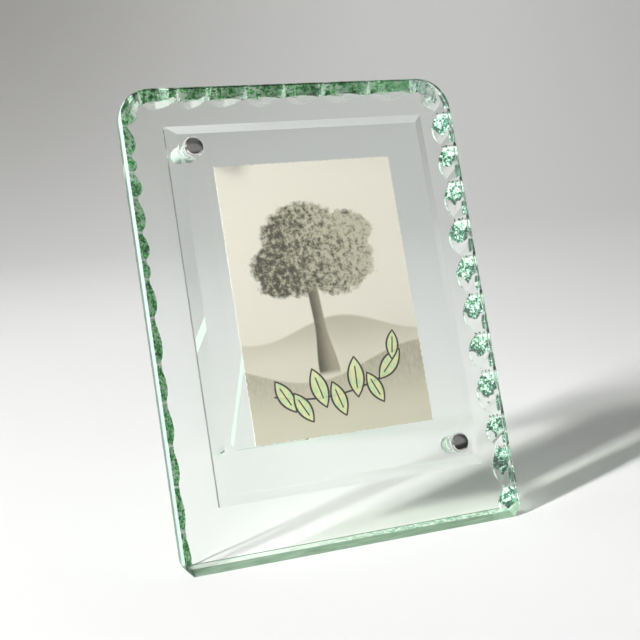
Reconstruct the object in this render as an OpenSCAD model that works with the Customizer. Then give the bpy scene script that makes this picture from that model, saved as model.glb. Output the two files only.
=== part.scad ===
// Glass picture frame: a chipped-edge crystal slab that leans back on a hinged glass strut.
// A bevelled cover glass is held on its face by two nickel screws, with a photo print between.
// Origin: middle of the footprint, on the table. +X right, -Y towards the viewer, +Z up.

/* [Back plate] */
// Width of the chipped back plate
back_w = 170; // [150:1:230]
// Height of the back plate, measured up its sloping face
back_h = 223; // [200:1:280]
// Thickness of the back plate
back_t = 11; // [9:0.5:16]
// Radius of the two upper corners
back_corner_r = 16; // [8:1:24]
// Cut across each lower corner
back_dub = 4.5; // [2:0.5:8]
// Angle that the plates lean back from the vertical
lean = 25; // [15:1:35]

/* [Chipped edge] */
// Width of the smooth front part of the edge
land_t = 4; // [3:0.25:6]
// Width of the polished bevel on the front of the left edge
front_bevel_w = 2; // [1:0.25:3]
// Depth of that bevel
front_bevel_d = 1.5; // [0.75:0.25:2]
// How far the steep cut behind the land reaches in over the rear face
chamfer_inset = 5.2; // [4:0.1:6]
// How far the chips reach in over the rear face
chip_inset = 8; // [6:0.2:10]
// Mean length of one chip along the rim
chip_pitch = 19; // [15:0.5:26]
// Slope of a chip along the sides, where it meets the rear face
chip_slope = 40; // [36:1:44]
// Slope of a chip along the top, where it meets the rear face
chip_slope_top = 22; // [16:1:30]

/* [Cover glass] */
// Width of the cover glass
cover_w = 131; // [120:1:180]
// Height of the cover glass
cover_h = 175; // [150:1:230]
// Thickness of the cover glass
cover_t = 6; // [4:0.5:8]
// Width of the bevel round its face
bevel_w = 5; // [3:0.5:8]
// Depth of the bevel
bevel_d = 3.5; // [2:0.25:4]
// Height of the cover's lower edge above the foot of the back plate
cover_rise = 28; // [20:1:40]

/* [Photo print] */
// Width of the print
print_w = 89.5; // [80:0.5:92]
// Height of the print
print_h = 131; // [110:1:150]
// Thickness of the print
print_t = 0.4; // [0.2:0.05:0.6]
// Free space on each side of the print
print_play = 0.3; // [0.3:0.05:0.6]
// Height of the print's middle above the middle of the cover
print_offset = 2; // [-5:0.5:5]
// Length of one wave of the deckle edge
deckle_pitch = 3.4; // [2.5:0.1:6]
// Depth of the deckle edge
deckle_depth = 0.6; // [0.3:0.1:1.2]

/* [Screws] */
// Distance from the cover's edges to each screw
screw_inset = 11.5; // [9:0.5:16]
// Outer diameter of the thread
screw_d = 4; // [3:0.5:5]
// Diameter of the round head
head_d = 8.6; // [7:0.2:12]
// Height of the head's rim
head_h = 1.8; // [1.4:0.2:4]
// Height of the dome on the head
dome_h = 0.5; // [0.2:0.1:1]
// Chamfer round the head
head_chamfer = 0.6; // [0.2:0.1:0.9]
// Length of thread inside the bush
thread_grip = 8; // [6:0.5:9]
// Diameter of the clear washer under the head
washer_d = 10; // [9:0.2:14]
// Thickness of that washer
washer_t = 0.5; // [0.3:0.1:1.5]
// Diameter of the clear spacer between the plates
spacer_d = 9.6; // [9.2:0.2:12]
// Diameter of the plastic bush in the back plate
bush_d = 7.8; // [6.4:0.1:9]

/* [Strut] */
// Width of the glass strut
strut_w = 46; // [40:1:70]
// Thickness of the glass strut
strut_t = 5; // [4:0.5:6]
// Angle between the strut and the back plate when it stands open
open_angle = 46.5; // [40:0.5:55]
// Height of the hinge pin above the foot, measured up the back plate
hinge_rise = 150; // [130:1:170]
// Cut across each lower corner of the strut
strut_dub = 2.5; // [1:0.5:5]

/* [Hinge] */
// Distance from the rear face of the back plate to the pin's axis
pin_stand = 8.4; // [8:0.1:11]
// Diameter of the pin
pin_d = 3; // [2:0.5:4]
// Diameter of the pin's two heads
pin_head_d = 5; // [4:0.5:6]
// Thickness of one pin head
pin_head_t = 1; // [0.6:0.2:2]
// Length of the flat on the heel, which stops the strut when it is open
heel_flat = 2.2; // [1:0.2:3]
// Radius of the knuckles
knuckle_r = 3.8; // [3:0.1:4.2]
// Width of the middle knuckle
knuckle_w = 12; // [8:1:18]
// Thickness of each ear of the base
ear_t = 4; // [3:0.5:6]
// How far the ear widens towards the top of its foot
ear_flare = 2; // [0.5:0.5:4]
// Diameter of the bonded base disc
base_d = 32; // [28:1:44]
// Thickness of the base disc
base_t = 2.5; // [2:0.25:3]
// Thickness of the clear bond under the disc
bond_t = 0.2; // [0.1:0.05:0.4]
// Width of the strut clamp
clamp_w = 40; // [30:1:60]
// Depth of glass that the clamp holds
clamp_grip = 14; // [10:1:22]
// Wall of the clamp
clamp_wall = 1.6; // [1.2:0.1:2.5]
// Thickness of each clear pad beside the glass
pad_t = 0.5; // [0.3:0.1:1]
// Thickness of the pressure plate
press_t = 1.2; // [0.8:0.1:2]
// Diameter of each grub screw
grub_d = 4; // [3:0.5:5]
// Distance between the two grub screws
grub_span = 22; // [16:1:40]

/* [Hidden] */
$fn = 64;

// Clearances that the fits share
cut = 1;              // overrun of every cut
bond_play = 0.05;     // round a bush set in its bore
thread_play = 0.05;   // between thread and bush
pin_play = 0.05;      // between pin and middle knuckle
slack = 0.5;          // round a screw where it passes freely
side_play = 0.3;      // between the moving and the fixed leaf
neck_play = 0.8;      // between the ears and the shoulders of the clamp, for the folded strut
stop_gap = 0.1;       // between the heel of the clamp and the base when open
spare_thread = 0.6;   // beyond the tip of the screw

plate_gap = print_t + 2 * print_play;
screw_x = cover_w / 2 - screw_inset;
upper_z = cover_rise + cover_h - screw_inset;
lower_z = cover_rise + screw_inset;
bore_d = bush_d + 2 * bond_play;
free_bore_d = screw_d + 2 * slack;
shank_len = washer_t + cover_t + plate_gap + thread_grip;

// The pin's axis and the foot of the strut, in the standing frame
pin_depth = back_t + pin_stand;
pin_y = pin_depth * cos(lean) + hinge_rise * sin(lean);
pin_z = hinge_rise * cos(lean) - pin_depth * sin(lean);
strut_lean = open_angle - lean;
strut_face = strut_t / 2;
foot_y = pin_y + pin_z * tan(strut_lean) + strut_face / cos(strut_lean);
origin_y = foot_y / 2;

// The clamp is a channel round the top of the strut, below the knuckle
channel_half = strut_face + pad_t;
channel_front = -channel_half - clamp_wall;
channel_rear = channel_half + press_t + clamp_wall + side_play;
glass_top = -knuckle_r - neck_play - clamp_wall;

// The heel's flat lies on the base when the strut is open, and starts at the pin's level
heel_r = pin_stand - bond_t - base_t - stop_gap;
heel_low = heel_r * [-cos(open_angle), sin(open_angle)];
heel_tip = heel_low + heel_flat * [sin(open_angle), cos(open_angle)];

// The rim runs up the left side, over the top and down the right side
side_len = back_h - back_corner_r;
arc_len = PI * back_corner_r / 2;
top_len = back_w - 2 * back_corner_r;
rim_len = 2 * side_len + 2 * arc_len + top_len;

// Standing frame to plate frame: the slab stands on its ground foot
module on_plate() {
    translate([0, -origin_y, 0])
        rotate([-lean, 0, 0])
            children();
}

// Frame of the strut: origin on the pin, the strut hanging down the -Z side
module on_strut() {
    translate([0, pin_y - origin_y, pin_z])
        rotate([open_angle - lean, 0, 0])
            children();
}

// A flat outline in X and Z, given thickness towards +Y
module slab(t) {
    translate([0, t, 0])
        rotate([90, 0, 0])
            linear_extrude(t)
                children();
}

// A disc, bore or screw that points towards +Y
module along_y(d, len, from = 0) {
    translate([0, from, 0])
        rotate([-90, 0, 0])
            cylinder(d = d, h = len);
}

module at_screw(upper) {
    translate([upper ? -screw_x : screw_x, 0, upper ? upper_z : lower_z])
        children();
}

// Where a length s along the rim lies: [x, z, direction of the outward normal]
function rim(s) =
    s < side_len ? [-back_w / 2, s, 180]
    : s < side_len + arc_len ? corner(-1, 180 - 90 * (s - side_len) / arc_len)
    : s < side_len + arc_len + top_len
        ? [s - side_len - arc_len - top_len / 2, back_h, 90]
    : s < rim_len - side_len
        ? corner(1, 90 - 90 * (s - side_len - arc_len - top_len) / arc_len)
    : [back_w / 2, rim_len - s, 0];

function corner(side, a) =
    [side * top_len / 2 + back_corner_r * cos(a), side_len + back_corner_r * sin(a), a];

// Uneven lengths and depths, read off the photograph from the left foot round to the right one
length_shares = [1.05, 1.05, 0.97, 1.03, 0.92, 1.13, 0.95, 0.47, 0.68, 0.87, 0.63, 0.42, 0.76,
                 1.05, 1, 0.76, 1, 1.03, 1.08, 1.29, 1.37, 1.33, 0.92, 0.97, 1.05, 1, 1.03,
                 1.05, 1, 1.18, 0.82, 1.03, 0.9];
depth_shares = [0.76, 0.77, 0.8, 0.83, 0.8, 0.85, 0.9, 0.8, 0.92, 0.94, 1, 0.88, 0.98,
                1.1, 1.05, 1.1, 1.08, 1.16, 1.1, 1.12, 1.1, 1.22, 1.06, 1, 1.04, 1.16, 1.1,
                1.12, 1.18, 1.12, 0.95, 0.96, 0.98];

// Starts of the chips: each is one uneven length after the one before
function chips(s, i) =
    s > rim_len ? []
    : concat([[s, chip_pitch * length_shares[i % len(length_shares)],
               chip_inset * depth_shares[i % len(depth_shares)]]],
             chips(s + chip_pitch * length_shares[i % len(length_shares)], i + 1));
function on_top(s) = s > side_len + arc_len / 2 && s < rim_len - side_len - arc_len / 2;

// A chip is a shallow spherical scar whose round edge lies on the rear face
module scars() {
    for (c = chips(0, 0)) {
        half = c[1] / 2;
        sag = max(c[2] - chamfer_inset * neck_share, least_sag);
        face_r = (half * half + sag * sag) / (2 * sag);
        slope = on_top(c[0] + half) ? chip_slope_top : chip_slope;
        ball_r = face_r / sin(slope);
        p = rim(c[0] + half);
        translate([p[0] + (face_r - c[2]) * cos(p[2]), back_t + ball_r * cos(slope),
                   p[1] + (face_r - c[2]) * sin(p[2])])
            sphere(r = ball_r, $fn = 96);
    }
}
neck_share = 0.86;
least_sag = 1.2;

// Profile of the steep cut: X runs inwards from the rim, Y to the rear
module chamfer_profile() {
    rise = (back_t - land_t) / chamfer_inset;
    polygon([[-cut, land_t - cut * rise], [-cut, back_t + cut],
             [chamfer_inset + cut / rise, back_t + cut]]);
}

// The cut runs up both sides, round the corners and over the top
module chamfers() {
    for (side = [0, 1])
        mirror([side, 0, 0]) {
            translate([-back_w / 2, 0, -back_h / 2])
                linear_extrude(back_h / 2 + side_len)
                    chamfer_profile();
            translate([-top_len / 2, 0, side_len])
                rotate([-90, 0, 0])
                    rotate([0, 0, 180])
                        rotate_extrude(angle = 90, $fn = 96)
                            translate([back_corner_r, 0])
                                mirror([1, 0])
                                    chamfer_profile();
        }
    translate([-top_len / 2, 0, back_h])
        rotate([0, 90, 0])
            linear_extrude(top_len)
                chamfer_profile();
}

// The bevel on the front of the left edge runs out where the corner turns away
module front_bevel() {
    rise = front_bevel_d / front_bevel_w;
    translate([-back_w / 2, 0, -back_h / 2])
        linear_extrude(2 * back_h)
            polygon([[-cut, -cut], [front_bevel_w + cut / rise, -cut],
                     [-cut, front_bevel_d + cut * rise]]);
}

module back_outline() {
    union() {
        translate([-back_w / 2, 0])
            square([back_w, side_len]);
        translate([-top_len / 2, 0])
            square([top_len, back_h]);
        for (side = [-1, 1])
            translate([side * top_len / 2, side_len])
                circle(r = back_corner_r, $fn = 96);
    }
}

// The corner cut of a foot that is half_w to each side, square to the table
module dub_cut(half_w, dub, depth) {
    for (side = [0, 1])
        mirror([side, 0, 0])
            translate([half_w, depth, 0])
                rotate([90, 0, 0])
                    linear_extrude(2 * depth)
                        polygon([[cut, -cut], [cut, dub + cut], [-dub - cut, -cut]]);
}

module back_plate() {
    color([0.74, 0.87, 0.8])
        on_plate()
            difference() {
                slab(back_t) back_outline();
                // The foot is ground level with the table, and its corners are dubbed
                rotate([lean, 0, 0]) {
                    translate([-back_w, -back_t, -back_h])
                        cube([2 * back_w, back_t * 4, back_h]);
                    dub_cut(back_w / 2, back_dub, back_t * 2);
                }
                front_bevel();
                chamfers();
                scars();
                for (upper = [true, false])
                    at_screw(upper) along_y(bore_d, back_t + 2 * cut, -cut);
            }
}

// The three-sided cut that makes one bevel, along +X
module bevel_cut(len) {
    grow = (bevel_w + bevel_d) * 2;
    translate([-len / 2 - grow, 0, 0])
        rotate([90, 0, 90])
            linear_extrude(len + 2 * grow)
                polygon([[-grow, -grow], [-grow, bevel_w + grow * bevel_w / bevel_d],
                         [0, bevel_w], [bevel_d, 0], [bevel_d, -grow]]);
}

module cover_plate() {
    color([0.8, 0.9, 0.85])
        on_plate()
            translate([0, -plate_gap - cover_t, cover_rise])
                difference() {
                    translate([-cover_w / 2, 0, 0])
                        cube([cover_w, cover_t, cover_h]);
                    bevel_cut(cover_w);
                    translate([0, 0, cover_h])
                        mirror([0, 0, 1])
                            bevel_cut(cover_w);
                    for (side = [0, 1])
                        mirror([side, 0, 0])
                            translate([-cover_w / 2, 0, cover_h / 2])
                                rotate([0, 90, 0])
                                    bevel_cut(cover_h);
                    for (upper = [true, false])
                        translate([0, 0, -cover_rise])
                            at_screw(upper)
                                along_y(free_bore_d, cover_t + 2 * cut, -cut);
                }
}

// Points of one deckled side, from corner to corner, waving inwards
function deckle(from, to, n) =
    [for (i = [0 : 2 * n - 1])
        let (f = i / (2 * n), d = (to - from) / norm(to - from),
             bite = (i % 2) * deckle_depth * deckle_shares[i % len(deckle_shares)])
        from + (to - from) * f + [-d[1], d[0]] * bite];
deckle_shares = [0, 1, 0, 0.7, 0, 0.9, 0, 0.55, 0, 0.85];

module photo_print() {
    across = round(print_w / deckle_pitch);
    up = round(print_h / deckle_pitch);
    a = [-print_w / 2, -print_h / 2];
    b = [print_w / 2, -print_h / 2];
    c = [print_w / 2, print_h / 2];
    d = [-print_w / 2, print_h / 2];
    color([0.93, 0.9, 0.82])
        on_plate()
            translate([0, -print_play - print_t, cover_rise + cover_h / 2 + print_offset])
                slab(print_t)
                    polygon(concat(deckle(a, b, across), deckle(b, c, up),
                                   deckle(c, d, across), deckle(d, a, up)));
}

// Head, dome and shank turned in one piece
module screw(upper) {
    rim_r = head_d / 2;
    dome_r = ((rim_r - head_chamfer) ^ 2 + dome_h ^ 2) / (2 * dome_h);
    color([0.72, 0.7, 0.68])
        on_plate()
            at_screw(upper)
                translate([0, -plate_gap - cover_t - washer_t, 0])
                    union() {
                        along_y(screw_d, shank_len);
                        rotate([90, 0, 0]) {
                            cylinder(r = rim_r, h = head_h - head_chamfer);
                            translate([0, 0, head_h - head_chamfer])
                                cylinder(r1 = rim_r, r2 = rim_r - head_chamfer, h = head_chamfer);
                            translate([0, 0, head_h])
                                intersection() {
                                    cylinder(r = rim_r - head_chamfer, h = dome_h);
                                    translate([0, 0, dome_h - dome_r])
                                        sphere(r = dome_r, $fn = 200);
                                }
                        }
                    }
}

module upper_screw() { screw(true); }
module lower_screw() { screw(false); }

module ring(upper, d, t, from, tint) {
    color(tint)
        on_plate()
            at_screw(upper)
                difference() {
                    along_y(d, t, from);
                    along_y(free_bore_d, t + 2 * cut, from - cut);
                }
}

module washer(upper) {
    ring(upper, washer_d, washer_t, -plate_gap - cover_t - washer_t, [0.9, 0.93, 0.92]);
}

module spacer(upper) {
    ring(upper, spacer_d, plate_gap, -plate_gap, [0.88, 0.92, 0.9]);
}

module upper_washer() { washer(true); }
module lower_washer() { washer(false); }
module upper_spacer() { spacer(true); }
module lower_spacer() { spacer(false); }

// The bush is bonded into the back plate, flush with both faces and closed behind
module bush(upper) {
    color([0.86, 0.93, 0.88])
        on_plate()
            at_screw(upper)
                difference() {
                    along_y(bush_d, back_t);
                    along_y(screw_d + 2 * thread_play, thread_grip + spare_thread + cut, -cut);
                }
}

module upper_bush() { bush(true); }
module lower_bush() { bush(false); }

module hinge_bond() {
    color([0.9, 0.92, 0.9])
        on_plate()
            translate([0, back_t, hinge_rise])
                along_y(base_d, bond_t);
}

// A disc with two ears that carry the pin
module hinge_base() {
    ear_x = knuckle_w / 2 + side_play;
    color([0.74, 0.73, 0.7])
        on_plate()
            translate([0, back_t + bond_t, hinge_rise])
                difference() {
                    union() {
                        along_y(base_d - 2 * base_chamfer, base_t);
                        along_y(base_d, base_t - base_chamfer);
                        translate([0, base_t - base_chamfer, 0])
                            rotate([-90, 0, 0])
                                cylinder(d1 = base_d, d2 = base_d - 2 * base_chamfer,
                                         h = base_chamfer);
                        for (side = [-1, 1])
                            translate([side > 0 ? ear_x : -ear_x - ear_t, 0, 0])
                                ear();
                    }
                    translate([-base_d, pin_stand - bond_t, 0])
                        rotate([0, 90, 0])
                            cylinder(d = pin_d, h = 2 * base_d);
                }
}
base_chamfer = 0.6;

// One ear: a round eye on a web that flares towards the top of the base
module ear() {
    reach = pin_stand - bond_t;
    rotate([90, 0, 90])
        linear_extrude(ear_t)
            union() {
                translate([reach, 0])
                    circle(r = knuckle_r);
                polygon([[0, -knuckle_r], [reach, -knuckle_r], [reach, knuckle_r],
                         [0, knuckle_r + ear_flare]]);
            }
}

module hinge_pin() {
    half = knuckle_w / 2 + side_play + ear_t;
    color([0.62, 0.61, 0.6])
        on_plate()
            translate([0, back_t + pin_stand, hinge_rise])
                rotate([0, 90, 0]) {
                    translate([0, 0, -half])
                        cylinder(d = pin_d, h = 2 * half);
                    for (side = [0, 1])
                        mirror([0, 0, side])
                            translate([0, 0, half])
                                cylinder(d1 = pin_head_d, d2 = pin_head_d - pin_head_t,
                                         h = pin_head_t);
                }
}

// The moving leaf: a knuckle and heel above, an open channel round the glass below
module strut_clamp() {
    depth = channel_rear - channel_front;
    color([0.74, 0.73, 0.7])
        on_strut()
            difference() {
                union() {
                    translate([-knuckle_w / 2, 0, 0])
                        rotate([0, 90, 0])
                            cylinder(r = knuckle_r, h = knuckle_w);
                    // The heel meets the base disc
                    translate([-knuckle_w / 2, 0, 0])
                        rotate([90, 0, 90])
                            linear_extrude(knuckle_w)
                                polygon([[channel_front, glass_top], [channel_front, 0],
                                         heel_low, heel_tip, [0, knuckle_r], [0, 0],
                                         [channel_half, glass_top]]);
                    translate([-clamp_w / 2, channel_front, glass_top - clamp_grip])
                        cube([clamp_w, depth, clamp_grip + clamp_wall]);
                }
                translate([-clamp_w / 2 - cut, -channel_half, glass_top - clamp_grip - cut])
                    cube([clamp_w + 2 * cut, channel_rear - clamp_wall + channel_half,
                          clamp_grip + cut]);
                translate([-clamp_w, 0, 0])
                    rotate([0, 90, 0])
                        cylinder(d = pin_d + 2 * pin_play, h = 2 * clamp_w);
                for (side = [-1, 1])
                    translate([side * grub_span / 2, channel_half, grub_z])
                        rotate([-90, 0, 0])
                            cylinder(d = grub_d + 2 * bond_play, h = depth);
            }
}
grub_z = glass_top - clamp_grip / 2;

// Clear liners between the glass and the metal
module pad(from) {
    color([0.9, 0.93, 0.9])
        on_strut()
            translate([-clamp_w / 2, from, glass_top - clamp_grip])
                cube([clamp_w, pad_t, clamp_grip]);
}

module front_pad() { pad(-channel_half); }
module rear_pad() { pad(strut_face); }

module pressure_plate() {
    inset = clamp_wall;
    color([0.68, 0.67, 0.65])
        on_strut()
            translate([-clamp_w / 2 + inset, channel_half, glass_top - clamp_grip + inset])
                cube([clamp_w - 2 * inset, press_t, clamp_grip - 2 * inset]);
}

// Two grub screws with a hexagon socket press the plate against the glass
module grub_screws() {
    seat = channel_half + press_t;
    len = channel_rear - seat;
    color([0.55, 0.54, 0.53])
        on_strut()
            for (side = [-1, 1])
                translate([side * grub_span / 2, seat, grub_z])
                    difference() {
                        along_y(grub_d, len);
                        translate([0, len - len * socket_share, 0])
                            rotate([-90, 0, 0])
                                cylinder(d = grub_d / 2, h = len, $fn = 6);
                    }
}
socket_share = 0.6;

// The strut's foot is ground level with the table too
module glass_strut() {
    long = pin_z / cos(strut_lean) + strut_t;
    color([0.74, 0.87, 0.8])
        difference() {
            on_strut()
                translate([-strut_w / 2, -strut_face, -long])
                    cube([strut_w, strut_t, long + glass_top]);
            translate([-strut_w, 0, -2 * strut_t])
                cube([2 * strut_w, foot_y, 2 * strut_t]);
            dub_cut(strut_w / 2, strut_dub, foot_y);
        }
}

back_plate();
cover_plate();
photo_print();
upper_screw();
lower_screw();
upper_washer();
lower_washer();
upper_spacer();
lower_spacer();
upper_bush();
lower_bush();
hinge_bond();
hinge_base();
hinge_pin();
strut_clamp();
front_pad();
rear_pad();
pressure_plate();
grub_screws();
glass_strut();
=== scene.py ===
# %% [markdown]
# # A glass photo frame, dressed in Blender
#
# The real object is a thick glass plate that leans back on a glass strut. A bevelled cover glass is held on
# its face by two round-headed screws, with a photo print between the two glasses. The rear edge of the thick
# plate is chipped by hand, and the chips are seen through the glass from the front.
#
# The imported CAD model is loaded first. It fixes every size and place. What follows gives it its looks.

# %% Load the frame
import math

import bpy
import bmesh
from mathutils import Matrix, Vector, geometry, noise


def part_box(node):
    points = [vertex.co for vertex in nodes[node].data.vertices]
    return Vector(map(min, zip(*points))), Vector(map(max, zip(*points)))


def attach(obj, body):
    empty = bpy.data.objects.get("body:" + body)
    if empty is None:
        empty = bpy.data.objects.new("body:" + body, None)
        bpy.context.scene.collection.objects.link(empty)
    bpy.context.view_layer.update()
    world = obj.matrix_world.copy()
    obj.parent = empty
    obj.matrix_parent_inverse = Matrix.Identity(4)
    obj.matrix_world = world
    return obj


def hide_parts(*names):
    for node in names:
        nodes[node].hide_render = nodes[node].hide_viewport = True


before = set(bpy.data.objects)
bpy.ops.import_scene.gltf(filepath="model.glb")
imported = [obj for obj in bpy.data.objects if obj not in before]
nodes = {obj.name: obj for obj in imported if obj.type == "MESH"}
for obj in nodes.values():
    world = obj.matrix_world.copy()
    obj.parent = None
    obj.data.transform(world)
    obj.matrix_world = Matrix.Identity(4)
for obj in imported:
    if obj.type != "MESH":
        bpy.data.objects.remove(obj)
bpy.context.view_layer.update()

# %% [markdown]
# ## The plate's own axes
#
# The plates lean back, so it is easiest to build on them in their own axes: u runs to the right, v up the
# slope and w out of the face. The origin is the middle of the plate's front lower edge. The plate's width
# and height and the places of the bores and the print are measured from the CAD nodes. Sizes that the box
# of a node doesn't show are repeated from the CAD model. What is measured is rounded to a hundredth of a
# millimetre, because the meshes of round pieces have facets.

# %% Sizes and the plate's axes
MM = 0.001
LEAN = math.radians(25)
BACK_T = 11 * MM
CORNER_R = 16 * MM
DUB = 4.5 * MM
COVER_BEVEL_W = 5 * MM
COVER_BEVEL_D = 3.5 * MM
MEASURED_DECIMALS = 5

U_AXIS = Vector((1, 0, 0))
V_AXIS = Vector((0, math.sin(LEAN), math.cos(LEAN)))
W_AXIS = Vector((0, -math.cos(LEAN), math.sin(LEAN)))

plate_low, plate_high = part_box("back_plate")
PLATE_FOOT = Vector((0, plate_low.y, 0))
PLATE_HALF_W = round(plate_high.x, MEASURED_DECIMALS)
PLATE_H = round(plate_high.z / math.cos(LEAN), MEASURED_DECIMALS)


def on_plate(u, v, w=0.0):
    """A point in the plate's own axes, as a point in the frame."""
    return PLATE_FOOT + U_AXIS * u + V_AXIS * v + W_AXIS * w


def middle_of(name):
    """The middle of a CAD node, as its u and v on the plate."""
    low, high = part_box(name)
    offset = (low + high) / 2 - PLATE_FOOT
    return tuple(round(offset.dot(axis), MEASURED_DECIMALS) for axis in (U_AXIS, V_AXIS))


BORES = [middle_of("upper_bush"), middle_of("lower_bush")]
print("plate:", PLATE_HALF_W * 2, "x", PLATE_H, "m, bores at", BORES)

# %% [markdown]
# ## The camera
#
# A camera is found again from its photograph by fitting its place, its heading and its lens until the known
# corners of the object fall where the picture shows them. Here the corners of the two plates and of the
# print were used. The camera stands to the left of the frame and looks a little down.

# %% Camera
CAMERA_PLACE = Vector((-203.18, -451.88, 254.53)) * MM
CAMERA_HEADING = math.radians(21.92)
CAMERA_DIP = math.radians(16.44)
CAMERA_SENSOR = 36
CAMERA_LENS = 66.68

camera = bpy.data.objects.new("camera", bpy.data.cameras.new("camera"))
bpy.context.scene.collection.objects.link(camera)
camera.location = PLATE_FOOT + CAMERA_PLACE
camera.rotation_euler = (math.pi / 2 - CAMERA_DIP, 0, -CAMERA_HEADING)
camera.data.sensor_width = CAMERA_SENSOR
camera.data.lens = CAMERA_LENS
camera.data.clip_start = 10 * MM
bpy.context.scene.camera = camera
print("camera", [round(c, 3) for c in camera.location])

# %% [markdown]
# ## Writing materials as sums
#
# A shader is a graph of nodes, and a long graph is hard to read as code. So one small class wraps a socket
# and lets it be used in an expression: `1 - mask * 0.5` adds the Math nodes by itself. Every other node comes
# from one method of the graph, further down.


# %% A socket that can be used in a sum
class Value:
    """A socket that holds a number, with the arithmetic that the graphs use."""

    def __init__(self, graph, socket):
        self.graph = graph
        self.socket = socket

    def math(self, operation, *others, clamp=False):
        return self.graph.node(
            "ShaderNodeMath", {"operation": operation, "use_clamp": clamp}, self, *others)

    def __add__(self, other):
        return self.math("ADD", other)

    __radd__ = __add__

    def __mul__(self, other):
        return self.math("MULTIPLY", other)

    __rmul__ = __mul__

    def __sub__(self, other):
        return self.math("SUBTRACT", other)

    def __rsub__(self, other):
        return self * -1.0 + other

    def __truediv__(self, other):
        return self.math("DIVIDE", other)

    def __pow__(self, other):
        return self.math("POWER", other)

    def __abs__(self):
        return self.math("ABSOLUTE")

    def __neg__(self):
        return self * -1.0

    def __lt__(self, other):
        return self.math("LESS_THAN", other)

    def __gt__(self, other):
        return self.math("GREATER_THAN", other)

    def clamped(self):
        """The same number, kept between 0 and 1."""
        return self.math("MULTIPLY", 1.0, clamp=True)

    def rise(self, low, high):
        """0 below low, 1 above high, with a smooth rise between."""
        return self.graph.node(
            "ShaderNodeMapRange", {"interpolation_type": "SMOOTHSTEP"}, self, low, high, 0.0, 1.0)


# %% [markdown]
# A graph adds nodes of any type with one method, which takes the node's type, its settings and the values or
# links of its sockets. Settings come first, because they change which sockets a node has. The same class
# serves the materials and the surroundings.


# %% A graph of nodes
class Graph:
    """A tree of nodes. One method adds any node to it."""

    def __init__(self, tree):
        self.tree = tree

    def node(self, kind, settings=None, *values, out=0, **named):
        made = self.tree.nodes.new(kind)
        for key, value in (settings or {}).items():
            if key == "stops":
                ramp = made.color_ramp.elements
                while len(ramp) < len(value):
                    ramp.new(0.5)
                for stop, (place, colour) in zip(ramp, value):
                    stop.position = place
                    stop.color = (*colour, 1)
            else:
                setattr(made, key, value)
        for index, value in enumerate(values):
            self.feed(made.inputs[index], value)
        for key, value in named.items():
            self.feed(made.inputs[key.replace("_", " ")], value)
        return Value(self, made.outputs[out])

    def feed(self, socket, value):
        """Link a value to a socket, or set a plain number or colour on it."""
        if isinstance(value, Value):
            self.tree.links.new(value.socket, socket)
        else:
            socket.default_value = value


# %% [markdown]
# A material adds three things to a plain graph: the Principled shader that it starts with, the ways to say
# where a point of the surface lies and which way it faces, and the mixes of colours and of shaders.

# %% A material
FACING_COSINE = 0.96
MIX_COLOUR_OUT = 2
MIX_COLOUR_INPUTS = (6, 7)


class Finish(Graph):
    """A material whose Principled shader is reached as .shader."""

    def __init__(self, name):
        self.material = bpy.data.materials.new(name)
        self.material.use_nodes = True
        super().__init__(self.material.node_tree)
        self.shader = self.tree.nodes["Principled BSDF"]
        self.surface = Value(self, self.shader.outputs[0])
        self.output = self.tree.nodes["Material Output"]

    def set(self, **named):
        for key, value in named.items():
            self.feed(self.shader.inputs[key.replace("_", " ")], value)

    def place(self, axis=None):
        """Where a point of the surface lies in the frame, in metres."""
        point = self.node("ShaderNodeTexCoord", out="Object")
        if axis is None:
            return point
        return self.node("ShaderNodeSeparateXYZ", None, point, out=axis)

    def along(self, direction, origin):
        """How far a point of the surface lies from origin along a direction, in metres."""
        offset = self.node(
            "ShaderNodeVectorMath", {"operation": "SUBTRACT"}, self.place(), tuple(origin))
        return self.dot(offset, direction)

    def dot(self, vector, direction):
        """The part of a vector that lies along a direction."""
        return self.node(
            "ShaderNodeVectorMath", {"operation": "DOT_PRODUCT"}, vector, tuple(direction), out="Value")

    def facing(self, direction):
        """1 where the surface faces a direction, 0 elsewhere."""
        return self.dot(self.node("ShaderNodeNewGeometry", out="True Normal"), direction) > FACING_COSINE

    def marked(self, name):
        """A number that the mesh carries under this name."""
        return self.node("ShaderNodeAttribute", {"attribute_name": name}, out="Fac")

    def noise(self, size, detail=3.0, rough=0.5, place=None):
        """Cloudy noise from 0 to 1 whose clouds are about size metres across."""
        return self.node(
            "ShaderNodeTexNoise", None, Vector=place or self.place(),
            Scale=1 / size, Detail=detail, Roughness=rough)

    def stretched(self, *scale):
        """The place on the surface with its axes scaled, for noise that is longer one way."""
        return self.node("ShaderNodeMapping", None, self.place(), Scale=scale)

    def mix(self, share, a, b):
        """A colour between a and b."""
        made = self.node("ShaderNodeMix", {"data_type": "RGBA"}, share, out=MIX_COLOUR_OUT)
        for index, colour in zip(MIX_COLOUR_INPUTS, (a, b)):
            self.feed(made.socket.node.inputs[index], colour)
        return made

    def layer(self, share, under, over):
        """A mix of two shaders, which is all over where share is 1."""
        return self.node("ShaderNodeMixShader", None, share, under, over)

    def show(self, surface):
        """Make a shader the one that the material shows."""
        self.feed(self.output.inputs["Surface"], surface)

    def bump(self, height, depth):
        """Fine relief, depth metres deep where height goes from 0 to 1."""
        self.set(Normal=self.node("ShaderNodeBump", None, Height=height, Distance=depth, Strength=1.0))


def rgb(*parts):
    return (*parts, 1.0)


# %% [markdown]
# ## Glass
#
# Clear float glass holds a little iron, which makes it green. Across a plate it is hardly seen, but light
# that runs along the inside of a plate comes out at the edge deep green. So the glass isn't painted green:
# its inside takes a little red and blue away for each millimetre of the way, and the edge turns green by
# itself. Lamps would cast a solid black shadow behind real refraction, so for lamp rays alone the glass is a
# clear, slightly tinted pane.

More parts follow.
